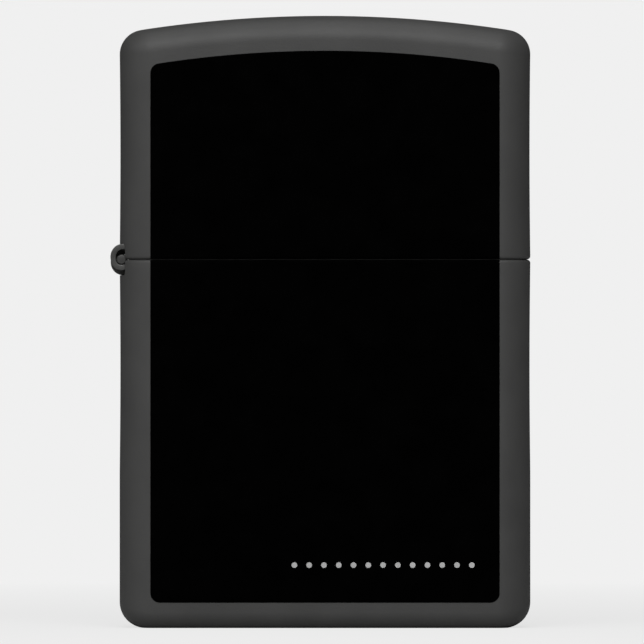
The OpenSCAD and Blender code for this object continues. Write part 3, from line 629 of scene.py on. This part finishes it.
# an ear's front view: up the free side, round the rivet and level back to the windguard
def earParts(x, z, radius, wallX, face):
    lean = 1 if x > wallX else -1
    a = np.linspace(0, np.pi / 2, 14)
    arc = np.stack([x + lean * radius * np.cos(a), z + radius * np.sin(a)], -1)
    shape = np.concatenate([[[wallX, guard["foot"]], [x + lean * radius, guard["foot"]]], arc,
                            [[wallX, z + radius]]])
    shape = shape if lean > 0 else shape[::-1]
    return [carried(shape, *sorted((side * face, side * (face + wheel["ear"]))), wheel["earEase"])
            for side in (-1, 1)]


# rivet along Y with a domed head outside each ear
def rivetPart(x, z, radius, face):
    end = face + wheel["ear"]
    head, high = radius * wheel["headWider"], wheel["headHigh"]
    a = np.linspace(0, np.pi / 2, 7)
    dome = np.stack([head * np.cos(a) * 0.98 + 0.02, end + high * np.sin(a)], -1)
    half = np.concatenate([[[radius, 0.0], [radius, end], [head, end + 0.001]], dome[1:]])
    profile = np.concatenate([half[::-1] * [1, -1], half[1:]])
    return turned(profile, (x, 0.0, z), order=(0, 2, 1), sides=48)


canMesh = cutAway(
    meshOf("insertCan", [sleeve(can["x"], can["width"], can["depth"], can["corner"], can["wall"],
                                can["foot"], can["rim"], can["ease"])]),
    [sideCutter(can["cutLeft"], can["cutRight"], can["notchHalf"], can["notchFoot"],
                can["rim"] + 4, can["notchRound"])])
addPiece("insertCan", canMesh, insertSteel, "insert", "insert_steel", "insert_can")

rowStep = (guard["top"] - guard["foot"] - 2 * guard["holeFirst"]) / 2
holes = [(guard["x"] + c * guard["spread"] * guard["width"],
          guard["foot"] + guard["holeFirst"] + row * rowStep)
         for row in range(3) for c in ((-0.5, 0.5) if row == 1 else (-1, 0, 1))]
outFace = guard["depth"] / 2
inFace = outFace - guard["sheet"]
flare = guard["flare"]
# the cutter's radius grows by flare at both faces of the sheet, so each hole has soft edges
holeProfile = np.array([[guard["hole"] + 2 * flare, outFace + flare],
                        [guard["hole"] + flare * 0.3, outFace - flare * 0.3],
                        [guard["hole"], outFace - flare], [guard["hole"], inFace - 0.5]])
holeProfile = np.concatenate([holeProfile, holeProfile[::-1] * [1, -1]])
cutters = [turned(holeProfile, (x, 0.0, z), order=(0, 2, 1), sides=40) for x, z in holes]
cutters.append(sideCutter(guard["x"] + guard["width"] / 2 - guard["windowDeep"],
                          guard["x"] + guard["width"], guard["windowHalf"],
                          guard["windowLow"], guard["windowHigh"], guard["windowRound"]))
guardMesh = cutAway(meshOf("windguard", [sleeve(
    guard["x"], guard["width"], guard["depth"], guard["corner"], guard["sheet"],
    guard["foot"], guard["top"], guard["ease"])]), cutters)
ears = (earParts(wheel["x"], wheel["z"], wheel["earRound"],
                 guard["x"] + guard["width"] / 2 - guard["sheet"] / 2, wheel["earFace"])
        + earParts(snap["x"], snap["z"], snap["earRound"],
                   guard["x"] - guard["width"] / 2 + guard["sheet"] / 2, snap["earFace"]))
earMesh = meshOf("ears", ears)
joined = bmesh.new()
joined.from_mesh(guardMesh)
joined.from_mesh(earMesh)
joined.to_mesh(guardMesh)
joined.free()
smoothen(guardMesh, sharpEdge)
addPiece("windguardShell", guardMesh, insertSteel, "insert", "insert_steel", "windguard")
addPiece("wheelRivet", meshOf("wheelRivet", [rivetPart(
    wheel["x"], wheel["z"], wheel["rivet"], wheel["earFace"])]),
    springSteel, "insert", "insert_steel", "wheel_rivet")
addPiece("camRivet", meshOf("camRivet", [rivetPart(
    snap["x"], snap["z"], snap["rivet"], snap["earFace"])]),
    springSteel, "insert", "insert_steel", "cam_rivet")
print("insert made")


# wheel: a closed profile turned about Y; on the rim the radius is cut by teeth that run as a
# shallow chevron, r = radius - tooth * saw(teeth * a + slant * |y|), and falls away at both edges
def wheelPart(sidesPerTooth=8, across=22):
    sides = wheel["teeth"] * sidesPerTooth
    a = np.linspace(0, 2 * np.pi, sides, endpoint=False)[None]
    y = np.linspace(-wheel["half"], wheel["half"], across)[:, None]
    turn = (wheel["teeth"] * a / (2 * np.pi) + wheel["slant"] * np.abs(y)) % 1.0
    steep = wheel["steep"]
    saw = np.where(turn < steep, 1 - turn / steep, (turn - steep) / (1 - steep))
    nearEdge = np.clip((np.abs(y) - wheel["half"] + wheel["chamfer"]) / wheel["chamfer"], 0, 1)
    radius = wheel["radius"] - wheel["tooth"] * saw - wheel["drop"] * nearEdge ** 2
    face, floor = wheel["half"], wheel["half"] - wheel["groove"]
    hub = np.array([[wheel["hub"][0], face], [wheel["hub"][1], floor],
                    [wheel["hub"][2], floor], [wheel["hub"][3], face],
                    [wheel["bore"] + wheel["boreEase"], face],
                    [wheel["bore"], face - wheel["boreEase"]]])
    back = np.concatenate([hub, hub[::-1] * [1, -1]])
    radius = np.concatenate([radius, np.repeat(back[:, :1], sides, 1)])
    depth = np.concatenate([np.repeat(y, sides, 1), np.repeat(back[:, 1:], sides, 1)])
    loops = np.stack([wheel["x"] + radius * np.cos(a), depth, wheel["z"] + radius * np.sin(a)], -1)
    return closedPart(loops, wrapRows=True)


feed = {"tube": 1.9, "tubeBore": 1.37, "tubeLow": 2.7186, "tubeHigh": 39.95,
        "flint": 1.25, "flintLow": 35.28, "flintHigh": 40.28, "head": 1.2, "stem": 0.74,
        "stemDown": 2.2, "coil": 1.03, "wire": 0.17, "turns": 15, "coilLow": 8.2886,
        "coilHigh": 33.91, "springFoot": 8.12, "travel": 3.0,
        "tubeEase": 0.1, "flintEase": 0.12, "stemEase": 0.15}
middle = (wheel["x"], 0.0, 0.0)
addPiece("flintWheel", meshOf("flintWheel", [wheelPart()], 25.0),
         wheelSteel, "wheel", "wheel_steel", "flint_wheel")
ease = feed["tubeEase"]
tubeProfile = [[feed["tube"], feed["tubeLow"] + ease], [feed["tube"], feed["tubeHigh"] - ease],
               [feed["tube"] - ease, feed["tubeHigh"]], [feed["tubeBore"] + ease, feed["tubeHigh"]],
               [feed["tubeBore"], feed["tubeHigh"] - ease],
               [feed["tubeBore"], feed["tubeLow"] + ease],
               [feed["tubeBore"] + ease, feed["tubeLow"]], [feed["tube"] - ease, feed["tubeLow"]]]
addPiece("flintTube", meshOf("flintTube", [turned(tubeProfile, middle, wrapRows=True)]),
         brass, "insert", "brass", "flint_tube")
addPiece("flintRod", meshOf("flintRod", [turned(rodProfile(
    feed["flint"], feed["flintLow"], feed["flintHigh"], feed["flintEase"]), middle)]),
    flintMetal, "flint", "flint_metal", "flint")
headLow = feed["flintLow"] - feed["head"]
tip = np.concatenate([
    rodProfile(feed["stem"], headLow - feed["stemDown"], headLow, feed["stemEase"])[:6],
    [[feed["stem"], headLow - 0.001]],
    rodProfile(feed["flint"], headLow, feed["flintLow"] - 0.002, feed["flintEase"])[1:]])
addPiece("springTip", meshOf("springTip", [turned(tip, middle)]),
         brass, "flint", "brass", "spring_tip")
s = np.linspace(0, 1, feed["turns"] * 28 + 1)
angle = 2 * np.pi * feed["turns"] * s
coilPath = np.stack([wheel["x"] + feed["coil"] * np.cos(angle), feed["coil"] * np.sin(angle),
                     feed["coilLow"] + (feed["coilHigh"] - feed["coilLow"]) * s], -1)
radial = np.stack([np.cos(angle), np.sin(angle), 0 * s], -1)
spring = addPiece("flintSpring", meshOf("flintSpring", [
    tubeAlong(coilPath, feed["wire"], 10, radial)]),
    springSteel, "insert", "spring_steel", "flint_spring")
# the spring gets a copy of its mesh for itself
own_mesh(spring)
print("flint wheel and feed made")


# wick, cotton and felt
wickShape = {"x": 1.05, "radius": 1.55, "top": 45.9, "bend": 2.9, "runZ": 28.675, "step": 5.8,
             "left": -11.28, "right": 6.15,
             "strands": 4, "twist": 1.9, "relief": 0.16, "runs": 4,
             "brown": (4.0, 1.0), "black": (2.0, -0.4), "ragged": 2.4}      # mm below the tip


# centre line: straight up at x, then level runs joined by half rounds of radius bend
def wickPath():
    w = wickShape
    quarter = np.linspace(0, -np.pi / 2, 14)
    half = np.linspace(np.pi / 2, 3 * np.pi / 2, 26)
    rows = [np.stack([np.full(60, w["x"]), np.linspace(w["top"], w["runZ"] + w["bend"], 60)], -1)]
    centre = np.array([w["x"] - w["bend"], w["runZ"] + w["bend"]])
    rows.append(centre + w["bend"] * np.stack([np.cos(quarter), np.sin(quarter)], -1))
    x, z, heading = w["x"] - w["bend"], w["runZ"], -1
    for run in range(w["runs"]):
        end = w["left"] if heading < 0 else w["right"]
        steps = 50 if run else 30
        rows.append(np.stack([np.linspace(x, end, steps)[1:], np.full(steps - 1, z)], -1))
        if run < w["runs"] - 1:
            side = half if heading < 0 else np.pi - half
            rows.append((np.array([end, z - w["bend"]]) + w["bend"] * np.stack(
                [np.cos(side), np.sin(side)], -1))[1:])
        x, z, heading = end, z - w["step"], -heading
    flat = np.concatenate(rows)
    keep = np.concatenate([[True], np.linalg.norm(np.diff(flat, axis=0), axis=1) > 1e-6])
    flat = flat[keep]
    return np.stack([flat[:, 0], 0 * flat[:, 0], flat[:, 1]], -1)


# braided wick: two sets of crossing strands lift the surface,
# r = radius - relief * (1 - max(strand(a + twist * s), strand(a - twist * s)))
def wickPart():
    path = wickPath()
    length = np.concatenate([[0], np.cumsum(np.linalg.norm(np.diff(path, axis=0), axis=1))])
    even = np.linspace(0, length[-1], 900)
    path = np.stack([np.interp(even, length, path[:, k]) for k in range(3)], -1)
    a = np.linspace(0, 2 * np.pi, 48, endpoint=False)[None]
    turn = wickShape["twist"] * even[:, None]
    left = np.abs(np.cos(wickShape["strands"] * a + turn)) ** 0.6
    right = np.abs(np.cos(wickShape["strands"] * a - turn)) ** 0.6
    radius = wickShape["radius"] - wickShape["relief"] * (1 - np.maximum(left, right))
    radius = radius * np.clip(0.55 + even[:, None] * 1.2, 0, 1)      # frayed, rounded tip
    return tubeAlong(path, radius, 48)


# cotton cord, brown and then black towards the tip of the wick
def wickFinish():
    material = finish("wickCotton", ((0.66, 0.63, 0.56), (0.78, 0.76, 0.7)), (0.8, 1.0),
                      tone=1300.0, grain=(6000.0, 0.7, 0.08), Sheen_Weight=0.3)
    tree = material.node_tree
    shader = tree.nodes["Principled BSDF"]
    where = tree.nodes.new("ShaderNodeTexCoord")
    parts = tree.nodes.new("ShaderNodeSeparateXYZ")
    tree.links.new(where.outputs["Object"], parts.inputs["Vector"])
    ragged = tree.nodes.new("ShaderNodeMath")
    ragged.operation = "MULTIPLY_ADD"
    tree.links.new(noiseAt(tree, 900.0), ragged.inputs[0])
    ragged.inputs[1].default_value = wickShape["ragged"] * mm
    tree.links.new(parts.outputs["Z"], ragged.inputs[2])
    colour = shader.inputs["Base Color"].links[0].from_socket
    for band, char in (("brown", (0.12, 0.075, 0.04)), ("black", (0.012, 0.011, 0.01))):
        low, high = [(wickShape["top"] - below) * mm for below in wickShape[band]]
        colour = blendOf(tree, rangeOf(tree, ragged.outputs[0], low, high, 0, 1), colour, char)
    tree.links.new(colour, shader.inputs["Base Color"])
    return material


addPiece("wickCord", meshOf("wickCord", [wickPart()], 60.0), wickFinish(),
         "insert", "wick_cotton", "wick")


# voxel size and depth of the dimples in mm, and how closely the dimples lie
cottonPad = {"voxel": 0.34, "depth": 0.16, "spread": 2.2, "waves": 14, "fill": 0.8}
feltShape = {"voxel": 0.3, "depth": 0.07, "spread": 3.4, "waves": 14, "fill": 0.8}


# soft pad from a CAD node: its mesh is remeshed evenly, then every point sinks along its normal
# by depth times a sum of sines of its place, so the surface stays inside the CAD's solid
def softPad(name, node, material, slot, pad, seed):
    mesh = nodes[node].data.copy()
    mesh.name = name
    work = bmesh.new()
    work.from_mesh(mesh)
    bmesh.ops.remove_doubles(work, verts=work.verts, dist=1e-6)
    work.to_mesh(mesh)
    work.free()
    body = bpy.data.objects.new(name, mesh)
    bpy.context.scene.collection.objects.link(body)
    remesh = body.modifiers.new("even", "REMESH")
    remesh.mode, remesh.voxel_size = "VOXEL", pad["voxel"] * mm
    smooth = body.modifiers.new("soft", "SMOOTH")
    smooth.factor, smooth.iterations = 0.5, 3
    soft = bpy.data.meshes.new_from_object(body.evaluated_get(
        bpy.context.evaluated_depsgraph_get()))
    bpy.data.objects.remove(body)
    count = len(soft.vertices)
    place, normal = np.empty(count * 3), np.empty(count * 3)
    soft.vertices.foreach_get("co", place)
    soft.vertices.foreach_get("normal", normal)
    place, normal = place.reshape(-1, 3), normal.reshape(-1, 3)
    waves = np.random.default_rng(seed)
    ways = waves.normal(size=(pad["waves"], 3)) * pad["spread"] / mm
    phase = waves.uniform(0, 2 * np.pi, pad["waves"])
    swell = np.sin(place @ ways.T + phase).mean(1) * 1.9
    sink = pad["depth"] * mm * np.clip(0.5 - swell, 0, 1.4)
    place -= normal * sink[:, None]
    soft.vertices.foreach_set("co", place.ravel())
    smoothen(soft, 80.0)
    piece = addPiece(name, soft, material, "insert", slot, node)


for k in range(1, 6):
    softPad(f"cottonWad{k}", f"cotton_{k}", cottonFluff, "cotton", cottonPad, 40 + k)
softPad("feltPad", "felt_pad", feltWool, "felt", feltShape, 60)
print("wick, cotton and felt made")


# CAD nodes that keep their shape
keptFinishes = {"top_plate": plateSteel, "cam": springSteel, "cam_spring": springSteel,
                "cam_spring_rivet": springSteel, "flint_screw": brass}
for node, material in keptFinishes.items():
    nodes[node].data.materials.clear()
    nodes[node].data.materials.append(material)
print("finishes put on the CAD nodes that stay")


studio = {
    "background": 0.871,                    # brightness seen behind the lighter
    "fill": 0.08,                           # brightness of the room that lights it
    "floor": 0.86, "bounce": 0.5,           # tone of the floor as seen, and as it lights things
    "glow": 0.82,                           # floor's share of its own light, for pale shadows
    "fadeFrom": 80.0, "fadeTo": 260.0,      # mm from the lighter, where the floor blends away
    "floorRadius": 6000.0, "rings": 30, "sides": 72,
}


# pale floor: soft and matt near the lighter, and as bright as the background further off
def floorFinish():
    material = bpy.data.materials.new("floorPaper")
    material.use_nodes = True
    tree = material.node_tree
    shader = tree.nodes["Principled BSDF"]
    shader.inputs["Roughness"].default_value = 0.9
    shader.inputs["Specular IOR Level"].default_value = 0.0
    shader.inputs["Base Color"].default_value = (studio["floor"],) * 3 + (1.0,)
    glow = tree.nodes.new("ShaderNodeEmission")
    glow.inputs["Color"].default_value = (1.0, 1.0, 1.0, 1.0)
    glow.inputs["Strength"].default_value = studio["background"]
    where = tree.nodes.new("ShaderNodeTexCoord")
    far = tree.nodes.new("ShaderNodeVectorMath")
    far.operation = "LENGTH"
    tree.links.new(where.outputs["Object"], far.inputs[0])
    share = rangeOf(tree, far.outputs["Value"], studio["fadeFrom"] * mm, studio["fadeTo"] * mm,
                    studio["glow"], 1)
    mix = tree.nodes.new("ShaderNodeMixShader")
    tree.links.new(share, mix.inputs[0])
    tree.links.new(shader.outputs[0], mix.inputs[1])
    tree.links.new(glow.outputs[0], mix.inputs[2])
    # the lighter itself is lit by a dimmer floor, so its sides fall away
    dim = tree.nodes.new("ShaderNodeBsdfDiffuse")
    dim.inputs["Color"].default_value = (studio["bounce"],) * 3 + (1.0,)
    ray = tree.nodes.new("ShaderNodeLightPath")
    choose = tree.nodes.new("ShaderNodeMixShader")
    tree.links.new(ray.outputs["Is Camera Ray"], choose.inputs[0])
    tree.links.new(dim.outputs[0], choose.inputs[1])
    tree.links.new(mix.outputs[0], choose.inputs[2])
    tree.links.new(choose.outputs[0], tree.nodes["Material Output"].inputs["Surface"])
    return material


# disc in rings, radius growing as the square of the row
a = np.linspace(0, 2 * np.pi, studio["sides"], endpoint=False)[None]
r = (np.linspace(0.02, 1, studio["rings"])[:, None] ** 2) * studio["floorRadius"]
disc = np.stack([r * np.cos(a), r * np.sin(a), 0 * r * a], -1)
floorMesh = bpy.data.meshes.new("floor")
floorMesh.from_pydata((disc.reshape(-1, 3) * mm).tolist(), [],
                      gridFaces(studio["rings"], studio["sides"]).tolist()
                      + [list(range(studio["sides"]))])
floorMesh.materials.append(floorFinish())
floor = bpy.data.objects.new("floor", floorMesh)
bpy.context.scene.collection.objects.link(floor)

world = bpy.data.worlds.new("room")
bpy.context.scene.world = world
world.use_nodes = True
tree = world.node_tree
fill = tree.nodes["Background"]
fill.inputs["Color"].default_value = (1.0, 1.0, 1.0, 1.0)
fill.inputs["Strength"].default_value = studio["fill"]
seen = tree.nodes.new("ShaderNodeBackground")
seen.inputs["Color"].default_value = (1.0, 1.0, 1.0, 1.0)
seen.inputs["Strength"].default_value = studio["background"]
ray = tree.nodes.new("ShaderNodeLightPath")
mix = tree.nodes.new("ShaderNodeMixShader")
tree.links.new(ray.outputs["Is Camera Ray"], mix.inputs[0])
tree.links.new(fill.outputs[0], mix.inputs[1])
tree.links.new(seen.outputs[0], mix.inputs[2])
tree.links.new(mix.outputs[0], tree.nodes["World Output"].inputs["Surface"])

lamps = {
    # name: (place in mm, aimed at in mm, width and height in mm, watts)
    "softboxFront": ((-20.0, -560.0, 480.0), (0.0, 0.0, 28.0), (420.0, 420.0), 3.5),
    "softboxLeft": ((-420.0, -300.0, 300.0), (0.0, 0.0, 20.0), (260.0, 260.0), 0.5),
    "softboxTop": ((20.0, -100.0, 620.0), (0.0, 0.0, 20.0), (220.0, 420.0), 0.8),
}
for name, (place, aim, size, watts) in lamps.items():
    data = bpy.data.lights.new(name, "AREA")
    data.shape, data.size, data.size_y = "RECTANGLE", size[0] * mm, size[1] * mm
    data.energy = watts
    lamp = bpy.data.objects.new(name, data)
    way = np.array(aim) - np.array(place)
    lamp.location = [v * mm for v in place]
    side = math.hypot(way[0], way[1])
    lamp.rotation_euler = (math.pi / 2 - math.atan2(-way[2], side), 0.0,
                           math.atan2(-way[0], way[1]))
    bpy.context.scene.collection.objects.link(lamp)
bpy.context.scene.view_settings.view_transform = "Standard"
print("floor and lights set")
